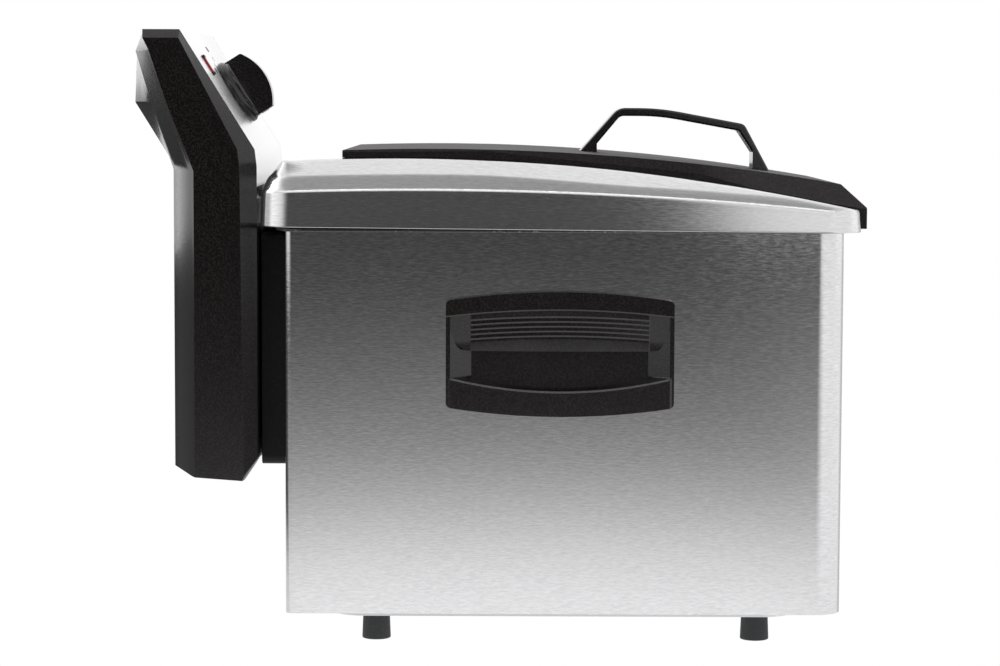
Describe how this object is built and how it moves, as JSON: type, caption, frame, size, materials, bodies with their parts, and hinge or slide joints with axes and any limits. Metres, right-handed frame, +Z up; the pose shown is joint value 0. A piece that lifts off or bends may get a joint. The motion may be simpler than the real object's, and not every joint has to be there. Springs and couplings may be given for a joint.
{
  "type": "deep fryer",
  "caption": "Countertop deep fryer: brushed-steel casing with a lift-out bowl, basket and lid, and a black control head with a knob and a heating element hung on the rear.",
  "frame": {"origin": "on the floor under the middle of the whole fryer's length and width", "axes": "+X to the front, away from the control head; +Y to the left when facing forward; +Z up"},
  "size_m": [0.4312, 0.27, 0.355],
  "materials": {
    "casing_steel": "brushed along the length",
    "zinc_steel": "plain sheet",
    "screw_steel": "bright",
    "foot_rubber": "matt",
    "speckled_plastic": "fine granular speckle",
    "black_plastic": "satin",
    "gloss_black": "gloss",
    "bowl_enamel": "dark enamel",
    "copper_line": "copper",
    "red_lens": "clear red",
    "red_button": "red",
    "lamp_glass": "clear",
    "pale_plastic": "satin",
    "element_tube": "heat-darkened tube",
    "basket_wire": "bright tinned wire"
  },
  "bodies": {
    "casing": {"outer_casing": "casing_steel", "base_plate": "zinc_steel", "foot_front_left": "foot_rubber", "foot_front_right": "foot_rubber", "foot_rear_left": "foot_rubber", "foot_rear_right": "foot_rubber", "foot_screws": "screw_steel", "side_handle_left": "speckled_plastic", "side_handle_right": "speckled_plastic", "handle_screws": "screw_steel", "rear_bracket": "black_plastic", "bracket_screws": "screw_steel"},
    "bowl": {"oil_bowl": "bowl_enamel"},
    "control_head": {"head_shell": "speckled_plastic", "head_front_cover": "black_plastic", "head_cover_screws": "screw_steel", "face_plate": "casing_steel", "thermostat": "black_plastic", "thermostat_bulb": "copper_line", "thermal_cutout": "black_plastic", "cutout_bulb": "copper_line", "bulb_clips": "zinc_steel", "indicator_lens": "red_lens", "indicator_lamp": "lamp_glass", "interlock_switch": "black_plastic", "terminal_block": "pale_plastic", "cord_gland": "black_plastic", "element_bridge": "zinc_steel", "heating_element": "element_tube", "element_terminals": "screw_steel"},
    "knob": {"knob_skirt": "gloss_black", "knob_cap": "speckled_plastic", "thermostat_spindle": "screw_steel"},
    "reset": {"reset_button": "red_button"},
    "basket": {"frying_basket": "basket_wire", "basket_rim": "basket_wire", "basket_supports": "basket_wire", "basket_handle_socket": "basket_wire"},
    "lid": {"lid_shell": "casing_steel", "lid_trim": "speckled_plastic", "lid_handle": "black_plastic", "lid_screws": "screw_steel"}
  },
  "joints": [
    {"name": "bowl_lift", "type": "slide", "parent": "casing", "child": "bowl", "axis": [0, 0, 1], "range_m": [0, 0.2]},
    {"name": "head_lift", "type": "slide", "parent": "bowl", "child": "control_head", "axis": [0, 0, 1], "range_m": [0, 0.2]},
    {"name": "basket_lift", "type": "slide", "parent": "control_head", "child": "basket", "axis": [0, 0, 1], "range_m": [0, 0.19]},
    {"name": "lid_lift", "type": "slide", "parent": "basket", "child": "lid", "axis": [0, 0, 1], "range_m": [0, 0.13]},
    {"name": "knob_turn", "type": "hinge", "parent": "control_head", "child": "knob", "pos_m": [-0.15737, 0, 0.3182], "axis": [0.848, 0, 0.5299], "range_deg": [0, 270]},
    {"name": "reset_press", "type": "slide", "parent": "control_head", "child": "reset", "axis": [1, 0, 0], "range_m": [0, 0.002], "stiffness_N_per_m": 400}
  ]
}
